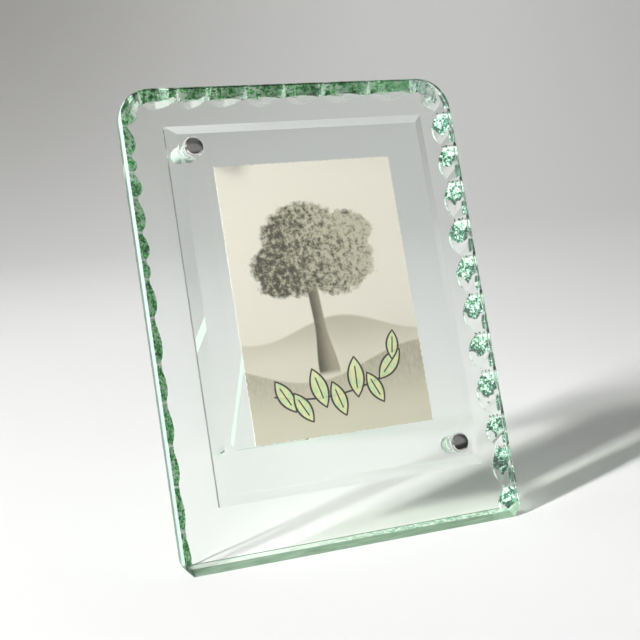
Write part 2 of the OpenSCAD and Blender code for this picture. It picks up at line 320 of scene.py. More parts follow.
# %% What all the glass shares
GLASS_BODY = (0.25, 0.85, 0.36)
GLASS_IOR = 1.52
DIM_PANE = (0.06, 0.08, 0.06)


def glaze(finish, density, pane_colour, worked, look, dim=None, painted_glow=None):
    """Turn a finish into green glass.

    Where worked is 1 the surface is ground or crushed and has the colour look, and glows with the given
    painted light. Lamp rays pass as through a pane of pane_colour, and hardly at all where dim is 1.
    """
    finish.set(Base_Color=rgb(1, 1, 1), Roughness=0.0, IOR=GLASS_IOR, Transmission_Weight=1.0)
    body = finish.node("ShaderNodeVolumeAbsorption", None, Color=rgb(*GLASS_BODY), Density=density)
    finish.feed(finish.output.inputs["Volume"], body)
    matt = finish.node(
        "ShaderNodeBsdfPrincipled", None, Base_Color=look, Roughness=0.55, IOR=GLASS_IOR,
        Transmission_Weight=0.12, Specular_IOR_Level=0.15)
    # Painted light: where a glow colour is given, the matt share glows though it is no lamp.
    if painted_glow is not None:
        finish.feed(matt.socket.node.inputs["Emission Color"], painted_glow)
        finish.feed(matt.socket.node.inputs["Emission Strength"], 1.0)
    pane = finish.node("ShaderNodeBsdfTransparent", None, rgb(*pane_colour))
    if dim is not None:
        pane = finish.layer(dim, pane, finish.node("ShaderNodeBsdfTransparent", None, rgb(*DIM_PANE)))
    lamp_ray = finish.node("ShaderNodeLightPath", out="Is Shadow Ray")
    finish.show(finish.layer(lamp_ray, finish.layer(worked, finish.surface, matt), pane))
    print("glass:", finish.material.name, "with", len(finish.tree.nodes), "nodes")


# %% [markdown]
# The edges of the cover glass are finely ground and look pale. Its bevels are polished. The lower bevel is
# shaded as if it were half as steep, so that the pale floor is seen through it, as on the real one, and not
# the dark wall. The strut is a cut strip of thinner glass with ground edges.

# %% Cover glass and strut glass
cover_glass = Finish("bevelled cover glass")
pale_edges = cover_glass.facing(V_AXIS) + cover_glass.facing(-V_AXIS) + cover_glass.facing(U_AXIS)
glaze(
    cover_glass, 2.5, (0.8, 0.81, 0.78),
    pale_edges * 0.7 + cover_glass.facing(-U_AXIS) * 0.1, rgb(0.9, 0.95, 0.92))

lower_bevel = cover_glass.facing((W_AXIS * COVER_BEVEL_W - V_AXIS * COVER_BEVEL_D).normalized())
leaning = cover_glass.node(
    "ShaderNodeVectorMath", {"operation": "MULTIPLY_ADD"},
    tuple(W_AXIS), lower_bevel, cover_glass.node("ShaderNodeNewGeometry", out="True Normal"))
cover_glass.set(Normal=cover_glass.node("ShaderNodeVectorMath", {"operation": "NORMALIZE"}, leaning))

strut_glass = Finish("strut glass")
strut_edges = sum(
    strut_glass.facing(way) for way in ((1, 0, 0), (-1, 0, 0), (0, 0, -1), (0, 0, 1)))
glaze(strut_glass, 5.0, (0.9, 0.92, 0.9), strut_edges * 0.85, rgb(0.6, 0.72, 0.64))

# %% [markdown]
# The thick plate has one glass all over, because the light inside it has to leave through the same glass
# that it came in by. The places where the tool hit are crushed to a mottle of white, mint and dark green
# specks, and painted light glows from the palest of them. The foot is ground, with painted light and shade
# on it, and the front bevel and the land are drawn matt with a painted reflection. Numbers that the mesh
# carries say where: "crushed" and "paler" for the specks and their painted highlights, "ground" for the
# ground foot and for the faces with a painted reflection, "rim" for the whole chipped strip and "dim" for
# the faces that lamp rays hardly pass. The specks are greener on the left and the top than on the right.

# %% Specks of crushed glass
GREEN_STOPS = [
    (0.2, (0.0, 0.05, 0.01)), (0.38, (0.01, 0.3, 0.03)), (0.52, (0.05, 0.66, 0.09)),
    (0.68, (0.32, 0.92, 0.36)), (0.8, (0.95, 1.0, 0.96))]
TEAL_STOPS = [
    (0.2, (0.0, 0.03, 0.02)), (0.42, (0.02, 0.18, 0.1)), (0.55, (0.18, 0.46, 0.32)),
    (0.67, (0.55, 0.82, 0.7)), (0.8, (0.95, 1.0, 0.98))]
TEAL_FROM_X = 68 * MM

thick_glass = Finish("green float glass")
fine_grain = (thick_glass.noise(1.1 * MM, detail=5.0, rough=0.65) - 0.5) * 2.5
broad_grain = (thick_glass.noise(3.4 * MM, detail=1.0) - 0.5) * 1.3
pale_lines = ((1 - abs(thick_glass.noise(2.4 * MM, detail=2.0) - 0.5) * 22.0) * 0.3).clamped()
speck_grain = fine_grain + broad_grain + pale_lines + thick_glass.marked("paler") + 0.46
specks = thick_glass.mix(
    thick_glass.place("X") > TEAL_FROM_X,
    thick_glass.node("ShaderNodeValToRGB", {"stops": GREEN_STOPS}, speck_grain),
    thick_glass.node("ShaderNodeValToRGB", {"stops": TEAL_STOPS}, speck_grain))
print("speck colours:", len(GREEN_STOPS), "green and", len(TEAL_STOPS), "teal stops")

# %% [markdown]
# The foot is ground flat and is seen from above through the plate. Light and shade are painted on it: a
# shaded front half, a lit rear half with painted glints towards the right, and a painted contact shadow
# along its rear edge. The polished bevel on the left and the smooth land beside it are drawn matt, with
# painted reflections: of the pale lamp on the bevel and of the dark room on the land.

# %% Painted light on the ground and polished faces
REAR_FOOT_FROM = 7.5 * MM
FOOT_SHADOW_LINE_FROM = 11.3 * MM
FOOT_BELOW_Z = 5 * MM
SPARKLE_FROM_X = -50 * MM
SPARKLE_FULL_X = 30 * MM

streaks = thick_glass.noise(1.6 * MM, place=thick_glass.stretched(0.12, 1, 1))
streaks = (streaks - 0.5) * 2.5 + 0.5
# Painted shade: the front half of the foot is darker.
shaded_front_foot = thick_glass.mix(streaks, rgb(0.13, 0.22, 0.14), rgb(0.27, 0.38, 0.28))
# Painted light: the rear half of the foot is paler, with painted glints towards the right.
painted_glints = thick_glass.mix(
    (thick_glass.noise(2.5 * MM, detail=4.0, rough=0.7) - 0.5) * 4.0 + 0.4,
    rgb(0.22, 0.42, 0.27), rgb(0.95, 1.0, 0.95))
plain_lit_rear_foot = thick_glass.mix(streaks, rgb(0.55, 0.6, 0.54), rgb(0.86, 0.89, 0.84))
lit_rear_foot = thick_glass.mix(
    thick_glass.place("X").rise(SPARKLE_FROM_X, SPARKLE_FULL_X), plain_lit_rear_foot, painted_glints)
painted_foot_light = thick_glass.mix(
    thick_glass.place("Y") > PLATE_FOOT.y + REAR_FOOT_FROM, shaded_front_foot, lit_rear_foot)
# Painted contact shadow: a dark line along the rear edge of the foot.
painted_foot_light = thick_glass.mix(
    thick_glass.place("Y") > PLATE_FOOT.y + FOOT_SHADOW_LINE_FROM, painted_foot_light, rgb(0.16, 0.23, 0.17))

# Painted reflections on matt faces: the pale lamp on the left bevel, the dark room on the land.
painted_room_reflection = thick_glass.marked("ground") < 0.6
painted_reflection = thick_glass.mix(painted_room_reflection, rgb(0.6, 0.75, 0.69), rgb(0.17, 0.27, 0.21))
painted_reflection_and_foot_light = thick_glass.mix(thick_glass.place("Z") < FOOT_BELOW_Z, painted_reflection, painted_foot_light)
# Painted light: the palest specks glow, standing in for light caught in the chips.
painted_glow_share = ((thick_glass.marked("paler") - 0.6) * 2.5).clamped()
glaze(
    thick_glass, 4.2, (1.0, 0.955, 0.985),
    thick_glass.marked("crushed") * thick_glass.marked("rim") + thick_glass.marked("ground"),
    thick_glass.mix(thick_glass.marked("ground") > 0.01, specks, painted_reflection_and_foot_light),
    dim=thick_glass.marked("dim"),
    painted_glow=thick_glass.mix(painted_glow_share, rgb(0, 0, 0), rgb(0.42, 0.43, 0.41)))

# %% [markdown]
# ## Metals
#
# The screws are turned and plated, so they are mirrors with faint turning marks. The hinge is plated too but
# brushed, and the small screws in it are plain steel. Plating is a thin and even coat, so one metallic
# colour is enough for each. A little noise in the roughness keeps the mirrors from looking too perfect.

# %% Metals
nickel = Finish("polished nickel")
nickel.set(
    Base_Color=rgb(0.6, 0.57, 0.56), Metallic=1.0, Roughness=nickel.noise(0.6 * MM) * 0.06 + 0.04)

satin = Finish("satin nickel")
brushed = satin.noise(0.35 * MM, detail=4.0)
satin.set(Base_Color=rgb(0.56, 0.55, 0.52), Metallic=1.0, Roughness=brushed * 0.15 + 0.22)
satin.bump(brushed, 0.01 * MM)

steel = Finish("plain steel")
steel.set(
    Base_Color=rgb(0.42, 0.41, 0.4), Metallic=1.0, Roughness=steel.noise(0.4 * MM) * 0.2 + 0.25)
print("metals:", nickel.material.name, satin.material.name, steel.material.name)

# %% [markdown]
# ## Plastics
#
# The washers, the spacers and the pads are soft and clear. The bushes are mint nylon, with painted shade on
# their outer wall, so they are paler in the middle. The hinge is held by a film of clear adhesive.

# %% Plastics
PALE_DISC_R = 2.7 * MM

clear_plastic = Finish("clear soft plastic")
clear_plastic.set(
    Base_Color=rgb(0.95, 0.97, 0.96), IOR=1.45, Transmission_Weight=0.75,
    Roughness=clear_plastic.noise(1 * MM) * 0.1 + 0.15)

nylon = Finish("pale mint nylon")


def near_bore(u, v):
    """1 near the axis of a bore, 0 elsewhere."""
    bore = on_plate(u, v)
    return (nylon.along(U_AXIS, bore) ** 2 + nylon.along(V_AXIS, bore) ** 2) ** 0.5 < PALE_DISC_R


# Painted shade: the bushes are darker on their outer wall and pale near the axis of the bore.
nylon.set(
    Base_Color=nylon.mix(
        sum(near_bore(u, v) for u, v in BORES), rgb(0.42, 0.53, 0.46), rgb(0.8, 0.93, 0.85)),
    Roughness=nylon.noise(0.8 * MM) * 0.1 + 0.35)

bond = Finish("cured clear adhesive")
bond.set(
    Base_Color=rgb(0.93, 0.96, 0.94), IOR=1.5, Transmission_Weight=0.9,
    Roughness=bond.noise(2 * MM) * 0.1 + 0.05)
print("plastics:", clear_plastic.material.name, nylon.material.name, bond.material.name)

# %% [markdown]
# ## Shadows inside the glass
#
# Real glass bends the lamp's light, so the shadow of a screw falls beside the print. Lamp rays here run
# straight on and would put it on the print. A piece inside the glass therefore lets a share of them pass.


# %% Lamp rays that pass a piece
def pass_lamp_rays(finish, share):
    """Let a share of the lamp rays through, so that a piece inside the glass casts a faint shadow."""
    lamp_ray = finish.node("ShaderNodeLightPath", out="Is Shadow Ray") * share
    finish.show(finish.layer(lamp_ray, finish.surface, finish.node("ShaderNodeBsdfTransparent")))


pass_lamp_rays(nickel, 0.75)
pass_lamp_rays(clear_plastic, 0.85)
print("lamp rays pass", nickel.material.name, "and", clear_plastic.material.name)

# %% [markdown]
# ## The print
#
# The print is a small photograph on cream paper with a deckled edge. Its picture is a plain landscape of
# this script's own, in sepia with a few tints of pale green. It is painted as a stack of masks on the paper,
# each worked out from the place on the print in millimetres from its middle. That needs no image file.

# %% Paper
CREAM = rgb(0.74, 0.685, 0.61)
WARM_CREAM = rgb(0.78, 0.7, 0.62)
HAZE = rgb(0.92, 0.86, 0.82)

paper = Finish("sepia print")
print_middle = on_plate(*middle_of("photo_print"))
across = paper.along(U_AXIS, print_middle) / MM
up = paper.along(V_AXIS, print_middle) / MM
picture = paper.mix(paper.noise(26 * MM, detail=2.0) * 0.5, CREAM, WARM_CREAM)
picture = paper.mix(up.rise(-44, 10) * 0.28, picture, HAZE)
print("middle of the print on the plate:", middle_of("photo_print"))

# %% [markdown]
# Each hill is all that lies under a sine curve. The far one is pale, as in haze. The near one has grass on
# it, which is noise drawn out upwards.

# %% Hills and grass
far_hill = (across * 0.075 + 1.2).math("SINE") * 5.0 - 15
near_hill = (across * 0.055 - 0.9).math("SINE") * 7.0 - 33
grass = paper.noise(1.1 * MM, detail=4.0, rough=0.6, place=paper.stretched(1.0, 0.35, 0.35))
far_mask = 1 - (up - far_hill).rise(-0.8, 0.8)
near_mask = 1 - (up - near_hill).rise(-0.6, 0.6)
far_colour = paper.mix(up.rise(-32, -10), rgb(0.68, 0.64, 0.53), rgb(0.4, 0.37, 0.28))
near_colour = paper.mix(grass * up.rise(-60, -30), rgb(0.66, 0.61, 0.49), rgb(0.2, 0.18, 0.12))
picture = paper.mix(far_mask * 0.7, picture, far_colour)
picture = paper.mix(near_mask * 0.9, picture, near_colour)
print("two hills, nodes so far:", len(paper.tree.nodes))

# %% [markdown]
# The tree has a trunk that widens at its foot and a crown of four ragged ovals, darker on the left.

# %% Tree
CROWN_OVALS = ((-16, 14, 19, 14), (8, 16, 21, 16), (-5, 29, 22, 17), (16, 30, 13, 11))
CROWN_RAGGED = 0.7
CROWN_CLOUD = 6 * MM


def oval(x, y, wide, tall):
    """1 inside a ragged oval, 0 outside."""
    cloud = paper.noise(CROWN_CLOUD, detail=4.0, rough=0.62) - 0.5
    reach = (((across - x) / wide) ** 2 + ((up - y) / tall) ** 2) ** 0.5 + cloud * CROWN_RAGGED
    return 1 - reach.rise(0.86, 1.04)


trunk_half = up.rise(-12, -36) * 2.6 + 2.6
trunk = 1 - (abs(across + 5.5 + up * 0.06) - trunk_half).rise(-0.5, 0.5)
trunk = trunk * up.rise(-38, -35) * (1 - up.rise(8, 14))
bark = paper.mix((across + grass * 2).rise(-8, 1), rgb(0.09, 0.08, 0.06), rgb(0.38, 0.34, 0.26))
picture = paper.mix(trunk, picture, bark)

leaf_grain = paper.noise(2.2 * MM, detail=5.0, rough=0.7)
leaf_tone = (leaf_grain + (across * 0.003 + up * 0.001)).rise(0.38, 0.64)
crown_colour = paper.mix(leaf_tone, rgb(0.07, 0.065, 0.045), rgb(0.52, 0.48, 0.37))
for x, y, wide, tall in CROWN_OVALS:
    picture = paper.mix(oval(x, y, wide, tall), picture, crown_colour)
print("crown of", len(CROWN_OVALS), "ovals, nodes so far:", len(paper.tree.nodes))

# %% [markdown]
# A sprig of leaves in pale green ink is drawn over the lower part of the sepia picture, each leaf a lens
# with a dark pen line round it.

# %% The sprig
INK = rgb(0.045, 0.03, 0.035)
PALE_GREEN = rgb(0.5, 0.72, 0.42)
DRY_GREEN = rgb(0.8, 0.78, 0.42)
LEAF_PLUMPNESS = 0.42
LEAVES = (
    (-27, -45, 118, 8.5), (-19, -51, -62, 8), (-10, -43, 104, 9.5), (-1, -49, -74, 8.5),
    (9, -40, 88, 9.5), (18, -46, -66, 8), (27, -36, 46, 9), (30, -27, 80, 7))


def pen(distance, width):
    """A pen line where the distance is near 0."""
    return 1 - abs(distance).rise(width * 0.6, width)


stem = up + 47 - across * 0.12 - (across * 0.045) ** 2 * 3.0
on_stem = across.rise(-33, -32) * (1 - across.rise(25, 26))
picture = paper.mix(pen(stem, 0.55) * on_stem, picture, INK)
wash = paper.mix(grass.rise(0.35, 0.6), PALE_GREEN, DRY_GREEN)
for x, y, turn, long in LEAVES:
    cos, sin = math.cos(math.radians(turn)), math.sin(math.radians(turn))
    forward = ((across - x) * cos + (up - y) * sin) / long
    sideways = (up - y) * cos - (across - x) * sin
    edge = abs(sideways) - (1 - forward * forward) * (long * LEAF_PLUMPNESS)
    vein = pen(sideways, 0.4) * (1 - abs(forward).rise(0.5, 0.6))
    picture = paper.mix((1 - edge.rise(-0.1, 0.1)) * 0.85, picture, wash)
    picture = paper.mix(pen(edge, 0.6), picture, INK)
    picture = paper.mix(vein, picture, INK)
print("leaves:", len(LEAVES))

# %% [markdown]
# The picture is on the front of the paper only, and the back is bare. The thick plate bends light sideways,
# but lamp rays here run straight on, so the shadow of the print would lie too far to the right. A strip of
# the paper therefore lets them pass.

# %% The finished print
LAMP_STRIP_FROM = 28.0

front_side = paper.dot(paper.node("ShaderNodeNewGeometry", out="Normal"), W_AXIS) > 0.5
paper.set(
    Base_Color=paper.mix(front_side, rgb(0.86, 0.84, 0.77), picture),
    Roughness=paper.noise(1.5 * MM) * 0.1 + 0.36, Specular_IOR_Level=0.4)
pass_lamp_rays(paper, across > LAMP_STRIP_FROM)
print("print:", len(paper.tree.nodes), "nodes")

# %% [markdown]
# ## The chipped rim
#
# The CAD plate has one plain scar for each chip. Here the rim is made again as a fine mesh, because what is
# seen in the glass hangs on its slopes. Light that comes in through the front meets the chipped surface from
# inside. Where that surface is steeper than the critical angle allows, it acts as a mirror and the eye
# looks along the inside of the green plate. Where it is flatter, the eye looks straight through.
#
# The rim is followed by one length that runs up the left side, over the top and down the right side. The
# depth of the surface below the front face is a function of that length and of the distance inwards. The
# shares below were set chip by chip, while looking at the photograph.

# %% Where the chips lie
SIDE_LEN = PLATE_H - CORNER_R
ARC_LEN = math.pi / 2 * CORNER_R
TOP_LEN = 2 * (PLATE_HALF_W - CORNER_R)
RIM_LEN = 2 * SIDE_LEN + 2 * ARC_LEN + TOP_LEN

CHIP_PITCH = 19 * MM
CHIP_REACH = 8 * MM
LENGTH_SHARES = [
    1.05, 1.05, 0.97, 1.03, 0.92, 1.13, 0.95, 0.47, 0.68, 0.87, 0.63, 0.42, 0.76,
    1.05, 1, 0.76, 1, 1.03, 1.08, 1.29, 1.37, 1.33, 0.92, 0.97, 1.05, 1, 1.03,
    1.05, 1, 1.18, 0.82, 1.03, 0.9]
DEPTH_SHARES = [
    0.76, 0.77, 0.8, 0.83, 0.8, 0.85, 0.9, 0.8, 0.92, 0.94, 1, 0.88, 0.98,
    1.1, 1.05, 1.1, 1.08, 1.16, 1.1, 1.12, 1.1, 1.22, 1.17, 1.1, 1.14, 1.27, 1.2,
    1.22, 1.28, 1.22, 1.05, 1.05, 1.06]

chips = []
chip_start = 0.0
for length_share, depth_share in zip(LENGTH_SHARES, DEPTH_SHARES):
    chip_length = CHIP_PITCH * length_share
    chips.append((chip_start, chip_length, CHIP_REACH * depth_share))
    chip_start += chip_length
chips.insert(0, (-chips[0][1], chips[0][1], chips[0][2]))
chips.append((chip_start, CHIP_PITCH, CHIP_REACH))
print("chips:", len(chips), "rim length in mm:", round(RIM_LEN / MM, 1))

# %% [markdown]
# The strip is straight at the sides and the top and bends round two corners. The chips look different on
# each side, so a place also knows how far it belongs to the top and to the right, with smooth changes in
# the corners.


# %% Places and blends along the rim
def rim_point(s, inset):
    """The place (u, v) at a length s along the rim and a distance inwards from it."""
    if s < SIDE_LEN:
        return -PLATE_HALF_W + inset, s
    s -= SIDE_LEN
    radius = CORNER_R - inset
    if s < ARC_LEN:
        turn = math.pi - s / CORNER_R
        return -TOP_LEN / 2 + radius * math.cos(turn), SIDE_LEN + radius * math.sin(turn)
    s -= ARC_LEN
    if s < TOP_LEN:
        return s - TOP_LEN / 2, PLATE_H - inset
    s -= TOP_LEN
    if s < ARC_LEN:
        turn = math.pi / 2 - s / CORNER_R
        return TOP_LEN / 2 + radius * math.cos(turn), SIDE_LEN + radius * math.sin(turn)
    return PLATE_HALF_W - inset, SIDE_LEN - (s - ARC_LEN)


def ease(low, high, x):
    """0 below low, 1 above high and a smooth rise between."""
    share = min(max((x - low) / (high - low), 0.0), 1.0)
    return share * share * (3 - 2 * share)


def blend(share, a, b):
    return a + (b - a) * share


def sides(s):
    """How far a place on the rim belongs to the top, and how far to the right side."""
    middle = RIM_LEN / 2
    top = 1 - ease(TOP_LEN / 2 + ARC_LEN * 0.1, TOP_LEN / 2 + ARC_LEN * 0.9, abs(s - middle))
    return top, (1 - top) if s > middle else 0.0


def chip_at(s):
    """The number of the chip that a place on the rim belongs to."""
    return max(i for i, chip in enumerate(chips) if chip[0] <= s + 1e-9)


print("middle of the rim:", rim_point(RIM_LEN / 2, 0), "in chip", chip_at(RIM_LEN / 2))

# %% [markdown]
# Each chip is a hollow whose wall rises to the rear face as a part of a cone. The wall is flatter at the top
# of the plate, so that the chips there look broad and clear, and steeper at the sides. A steep straight cut
# runs along the rim behind a smooth land, and between two chips a ridge is left.

# %% One chip and the straight cut
LAND_SIDE = 5.0 * MM
LAND_TOP = 2.75 * MM
CUT_REACH = 5.2 * MM
LEAST_SAG = 1.2 * MM
WALL_SLOPE_LEFT = 41.0
WALL_SLOPE_RIGHT = 39.0
WALL_SLOPE_TOP = 17.0
RIGHT_TWIST = 11.0


def chip_wall(chip, s, inset, top, right):
    """Depth below the front face of one chip's wall."""
    start, length, reach = chip
    half = length / 2
    x = (s - start - half) / half
    x += blend(right, 0.2, -0.12) * max(1 - x * x, 0.0)
    neck = blend(top, blend(right, 0.86, 0.5), 0.8) * CUT_REACH
    sag = max(reach - neck, LEAST_SAG)
    face_r = (half * half + sag * sag) / (2 * sag)
    away = math.hypot(x * half, face_r - reach + inset)
    side_slope = blend(right, WALL_SLOPE_LEFT, WALL_SLOPE_RIGHT - RIGHT_TWIST * x)
    slope = blend(top, side_slope, WALL_SLOPE_TOP)
    return BACK_T - math.tan(math.radians(slope)) * (face_r - away)


def straight_cut(chip, s, inset, top):
    """Depth of the steep cut along the rim, which is less deep at the ridges."""
    start, length, _ = chip
    ridge = 1 - min(
        ease(0, 2.6 * MM, s - start), ease(0, blend(top, 1.2, 4.5) * MM, start + length - s))
    land = blend(top, LAND_SIDE, LAND_TOP) + ridge * blend(top, 0.4, 2.2) * MM
    return land + inset / CUT_REACH * (BACK_T - land)


print("wall of the first chip, 6 mm in:", round(chip_wall(chips[1], 10 * MM, 6 * MM, 0, 0) / MM, 2), "mm")

# %% [markdown]
# Broken glass isn't smooth. Fine waves run round the place where each flake was struck off, and rougher
# hackles lie near its upper end. Both are added to the depth, and fade out at the rim, where the land is.

# %% Ripples and hackles
RIPPLE_PITCH = 1.5 * MM
WANDER_SIZE = 3.1 * MM
ROUGH_SIZE = 1.05 * MM
FINE_SIZE = 0.55 * MM
STRUCK_BEYOND = 2 * MM
LEAST_WALL = 0.02 * MM
REACH_RANGE = (2 * MM, 13 * MM)
HALVINGS = 22


def waves(chip, s, inset, top, right):
    """Ripples and hackles, in metres, to be added to the depth."""
    start, length, _ = chip
    along = (s - start) / length
    struck = blend(right, blend(top, 0.85, 1.1), -0.05) * length
    away = math.hypot(s - start - struck, inset * 1.2 + STRUCK_BEYOND)
    wander = noise.noise(Vector((s, inset, start)) / WANDER_SIZE)
    ripple = math.sin(away / RIPPLE_PITCH * 2 * math.pi + 3 * wander)
    rough = noise.noise(Vector((s, inset, 0)) / ROUGH_SIZE)
    fine = noise.noise(Vector((s, inset, 7)) / FINE_SIZE)
    left = (1 - top) * (1 - right)
    calm = ease(0.15, 0.5, along)
    strike = 1 - ease(0.38, 0.6, along)
    ripple_deep = 0.02 * left + 0.02 * top * calm + 0.09 * right * strike
    rough_deep = 0.14 * left + 0.12 * top * calm + 0.03 * top + 0.55 * right * strike
    fine_deep = 0.06 * left + 0.05 * top * calm + 0.16 * right * strike
    return (ripple * ripple_deep + rough * rough_deep + fine * fine_deep) * MM


def surface_depth(s, inset):
    """Depth of the finished surface below the front face."""
    top, right = sides(s)
    index = chip_at(s)
    near = chips[max(index - 1, 0):index + 2]
    depth = min(chip_wall(chip, s, inset, top, right) for chip in near)
    depth = min(depth, straight_cut(chips[index], s, inset, top))
    return depth + waves(chips[index], s, inset, top, right) * ease(0, 1.5 * MM, inset)


def rear_reach(s):
    """How far in from the rim the surface comes out on the rear face, found by halving."""
    low, high = REACH_RANGE
    for _ in range(HALVINGS):
        half_way = (low + high) / 2
        if surface_depth(s, half_way) < BACK_T - LEAST_WALL:
            low = half_way
        else:
            high = half_way
    return low


print("depth in the middle of the left side:", round(surface_depth(0.1, 2 * MM) / MM, 2), "mm")

# %% [markdown]
# The tool also crushed the glass. On the right side a cluster of specks fills the upper half of each chip,
# with a painted highlight along its top, a pale claw round its inner edge and a dark sliver at the rim. At
# the top a steep band is crushed all along, pale arcs spread from where each flake was struck, and a patch
# of painted light lies on the flat part of each chip. The left side is crushed all over, and the ridges
# there and at the top are the palest. Each function gives two numbers: how crushed a place is, and how
# much paler or darker its specks are.


# %% Crushed marks
def right_marks(inset, reach, along, ragged, right, lower):
    low_end = 0.7 - 0.55 * abs(inset / reach - 0.5) + 0.16 * ragged
    cluster = right * ease(0.02, 0.1, along) * (1 - ease(low_end - 0.03, low_end + 0.02, along))
    cluster *= ease(0.1 * MM, 0.5 * MM, inset)
    cluster *= 1 - ease(reach - 0.5 * MM, reach - 0.2 * MM, inset)
    dark_end = cluster * ease(low_end - 0.22, low_end - 0.1, along)
    # Painted highlight along the top of each cluster.
    painted_top_highlight = cluster * (1 - ease(0.1, 0.16, along))
    claw = right * (1 - ease(0.3 * MM, 0.55 * MM, abs(inset - reach + 0.45 * MM)))
    claw *= ease(0.35, 0.5, along) * (1 - ease(0.72, 0.92, along))
    sliver = right * ease(0.1 * MM, 0.3 * MM, inset) * (1 - ease(1.1 * MM, 1.6 * MM, inset))
    sliver *= ease(0.55, 0.62, along) * (1 - ease(0.9, 0.97, along))
    paler = (0.1 - 0.12 * lower) * cluster - 0.3 * dark_end + 0.15 * painted_top_highlight
    return max(0.9 * cluster, 0.8 * claw, 0.9 * sliver), paler + 0.3 * claw - 0.25 * sliver


def top_marks(s, inset, reach, chip_end, along, ragged, top):
    off_rim = ease(0.1 * MM, 0.5 * MM, inset)
    inwards = inset / reach
    steep = top * off_rim * (1 - ease(0.45, 0.6, inwards))
    struck = top * (1 - ease(0.3, 0.5, along + 0.15 * ragged)) * off_rim * (1 - ease(0.5, 0.7, inwards))
    arc = math.sin(math.hypot(s - chip_end, inset) / (1.4 * MM) * math.pi)
    # A patch of painted light on the flat part of each chip, pale enough to glow.
    painted_light_patch = top * ease(0.52, 0.6, inwards) * (1 - ease(0.93, 0.98, inwards))
    painted_light_patch *= ease(0.35, 0.5, along) * (1 - ease(0.88, 0.97, along))
    painted_light_patch *= 0.2 + 0.7 * (1 - ease(SIDE_LEN + ARC_LEN, SIDE_LEN + ARC_LEN + 0.5 * TOP_LEN, s))
    paler = 0.06 * steep + struck * (0.34 * max(arc - 0.6, 0) / 0.4 + 0.07) + min(3 * painted_light_patch, 1)
    return max(0.55 * steep, 0.85 * struck, painted_light_patch), paler


def left_and_ridge_marks(inset, to_ridge, left, top):
    all_over = left * ease(0.1 * MM, 0.5 * MM, inset)
    ridge = (left + top) * (1 - ease(0.3 * MM, 0.75 * MM, to_ridge)) * ease(1 * MM, 2 * MM, inset)
    return max(0.9 * all_over, 0.85 * ridge), 0.07 * left + 0.7 * ridge


def crushed_marks(s, inset, reach):
    """How crushed the glass is at a place, and how much paler or darker its specks are."""
    top, right = sides(s)
    left = (1 - top) * (1 - right)
    start, length, _ = chips[chip_at(s)]
    chip_end = start + length
    along = (s - start) / length
    ragged = noise.noise(Vector((s, inset, 3)) / (2.2 * MM))
    lower = ease(0.3 * SIDE_LEN, SIDE_LEN, s - SIDE_LEN - 2 * ARC_LEN - TOP_LEN)
    marks = (
        right_marks(inset, reach, along, ragged, right, lower),
        top_marks(s, inset, reach, chip_end, along, ragged, top),
        left_and_ridge_marks(inset, min(s - start, chip_end - s), left, top))
    return max(crushed for crushed, _ in marks), sum(paler for _, paler in marks)


print("marks on the right side:", [round(mark, 2) for mark in crushed_marks(0.42, 3 * MM, 8 * MM)])

# %% [markdown]
# ## The chipped plate
#
# The strip of the rim is a grid of points: two rows for the front bevel or arris, then rows from the rim
# inwards to the rear face. Its points carry how crushed they are, and its faces carry how they are finished
# and where a painted reflection goes. The left side has a wider, polished bevel on its front edge, which
# carries a painted reflection of the lamp.

# %% The strip of the rim
STRIP_ROWS = 30
STRIP_STEP = 0.32 * MM
BELOW_FOOT = 9 * MM
FRONT_BEVEL_W = 1.3 * MM
FRONT_BEVEL_RISE = 0.75
FRONT_ARRIS = 0.45 * MM
FRONT_ARRIS_RISE = 0.8

shape = bmesh.new()
crushed_layer = shape.verts.layers.float.new("crushed")
paler_layer = shape.verts.layers.float.new("paler")
ground_and_painted_reflection_layer = shape.faces.layers.float.new("ground")
rim_layer = shape.faces.layers.float.new("rim")
dim_layer = shape.faces.layers.float.new("dim")


def corner(u, v, depth):
    return shape.verts.new(on_plate(u, v, -depth))


def front_edge(s):
    """The two points of the bevel or arris between the front face and the rim."""
    u, v = rim_point(s, 0)
    beside = u + PLATE_HALF_W
    if s < SIDE_LEN + ARC_LEN and beside < FRONT_BEVEL_W - FRONT_ARRIS:
        width = FRONT_BEVEL_W - beside
        return [corner(u + width, v, 0), corner(u, v, width * FRONT_BEVEL_RISE)]
    return [corner(*rim_point(s, FRONT_ARRIS), 0), corner(u, v, FRONT_ARRIS * FRONT_ARRIS_RISE)]


columns = int((RIM_LEN + 2 * BELOW_FOOT) / STRIP_STEP)
strip = []
for column in range(columns + 1):
    s = -BELOW_FOOT + (RIM_LEN + 2 * BELOW_FOOT) * column / columns
    reach = rear_reach(s)
    rows = front_edge(s)
    for row in range(STRIP_ROWS):
        inset = reach * row / STRIP_ROWS
        vert = corner(*rim_point(s, inset), min(surface_depth(s, inset), BACK_T))
        vert[crushed_layer], vert[paler_layer] = crushed_marks(s, inset, reach)
        rows.append(vert)
    rows.append(corner(*rim_point(s, reach), BACK_T))
    strip.append(rows)
print("strip:", len(strip), "columns of", len(strip[0]), "points")

# %% [markdown]
# Four neighbouring points make one face. On the left side, where the lamp stands, the edge stops less of
# its light, because there the light goes into the plate and leaves it again at the far side.

# %% Faces of the strip
LAND_ROW = 1
LEFT_SIDE_W = 4 * MM


def finish_face(face, row, on_left):
    """Say how much of a face of the strip is matt with a painted reflection, and how much lamp light it
    stops.

    The row before the land is the front bevel or arris, and the rows after it are chipped.
    """
    face[dim_layer] = (0.5 if row == LAND_ROW else 0.15) if on_left else 1
    if row > LAND_ROW:
        face[rim_layer] = 1
    # The land and the left bevel get a matt share with a painted reflection: dark room on the land, lamp on
    # the bevel.
    elif row == LAND_ROW:
        face[ground_and_painted_reflection_layer] = 0.5 if on_left else 0.1
    elif on_left:
        face[ground_and_painted_reflection_layer] = 0.75


